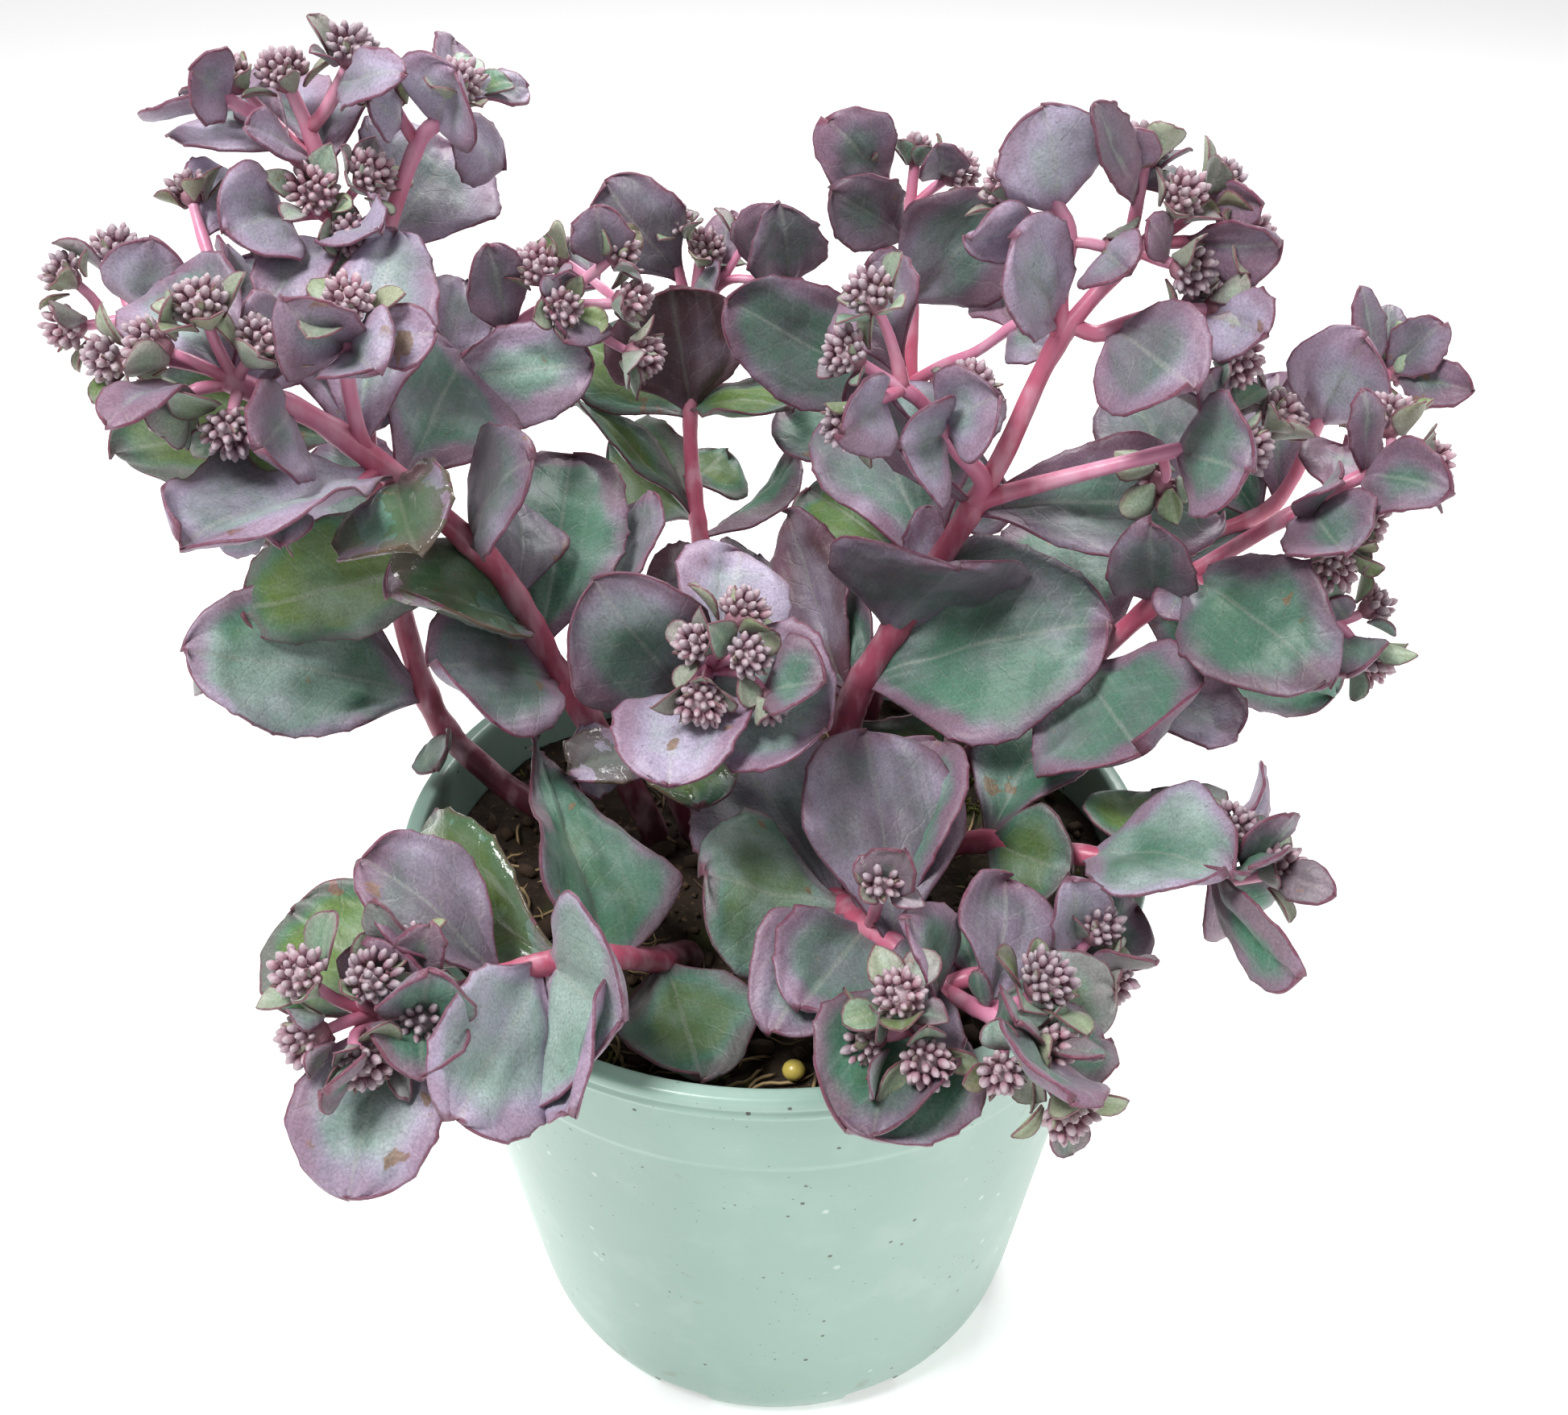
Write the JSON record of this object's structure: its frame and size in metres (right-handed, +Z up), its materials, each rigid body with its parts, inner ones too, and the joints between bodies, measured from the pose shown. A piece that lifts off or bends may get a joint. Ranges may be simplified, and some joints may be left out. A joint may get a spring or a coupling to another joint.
{
  "type": "potted sedum",
  "caption": "Fleshy upright sedum with broad toothed leaves and rounded clusters of closed buds, growing in a round thin-walled nursery pot that is filled with dark soil",
  "frame": {"origin": "middle of the pot's underside, level with the flat ring and pad that it stands on", "axes": "+Z up along the pot's axis, +Y towards the back of the plant, +X to its right as seen from the front"},
  "size_m": [0.2975, 0.2443, 0.2902],
  "materials": {
    "pot_plastic": "satin mint green",
    "potting_soil": "loose dark peat with bark fibre",
    "feed_grain": "smooth resin-coated prill",
    "sedum_leaf": "waxy grey-mauve to green leaf with a matt bloom, on pink canes",
    "sedum_bud": "matt dusty mauve buds"
  },
  "bodies": {
    "root": {"back_buds_1": "sedum_bud", "back_stem": "sedum_leaf", "centre_buds_1": "sedum_bud", "centre_buds_2": "sedum_bud", "centre_stem": "sedum_leaf", "far_buds_1": "sedum_bud", "far_buds_2": "sedum_bud", "far_buds_3": "sedum_bud", "far_buds_4": "sedum_bud", "far_buds_5": "sedum_bud", "far_stem": "sedum_leaf", "feed_grain": "feed_grain", "front_left_buds_1": "sedum_bud", "front_left_stem": "sedum_leaf", "front_right_buds_1": "sedum_bud", "front_right_stem": "sedum_leaf", "front_side_stem": "sedum_leaf", "left_buds_1": "sedum_bud", "left_buds_2": "sedum_bud", "left_buds_3": "sedum_bud", "left_buds_4": "sedum_bud", "left_buds_5": "sedum_bud", "left_buds_6": "sedum_bud", "left_stem": "sedum_leaf", "middle_buds_1": "sedum_bud", "middle_buds_2": "sedum_bud", "middle_buds_3": "sedum_bud", "middle_stem": "sedum_leaf", "pot": "pot_plastic", "rear_buds_1": "sedum_bud", "rear_stem": "sedum_leaf", "right_buds_1": "sedum_bud", "right_buds_10": "sedum_bud", "right_buds_11": "sedum_bud", "right_buds_12": "sedum_bud", "right_buds_13": "sedum_bud", "right_buds_14": "sedum_bud", "right_buds_15": "sedum_bud", "right_buds_2": "sedum_bud", "right_buds_3": "sedum_bud", "right_buds_4": "sedum_bud", "right_buds_5": "sedum_bud", "right_buds_6": "sedum_bud", "right_buds_7": "sedum_bud", "right_buds_8": "sedum_bud", "right_buds_9": "sedum_bud", "right_stem": "sedum_leaf", "soil": "potting_soil", "tall_buds_1": "sedum_bud", "tall_buds_10": "sedum_bud", "tall_buds_11": "sedum_bud", "tall_buds_2": "sedum_bud", "tall_buds_3": "sedum_bud", "tall_buds_4": "sedum_bud", "tall_buds_5": "sedum_bud", "tall_buds_6": "sedum_bud", "tall_buds_7": "sedum_bud", "tall_buds_8": "sedum_bud", "tall_buds_9": "sedum_bud", "tall_stem": "sedum_leaf"}
  },
  "joints": []
}
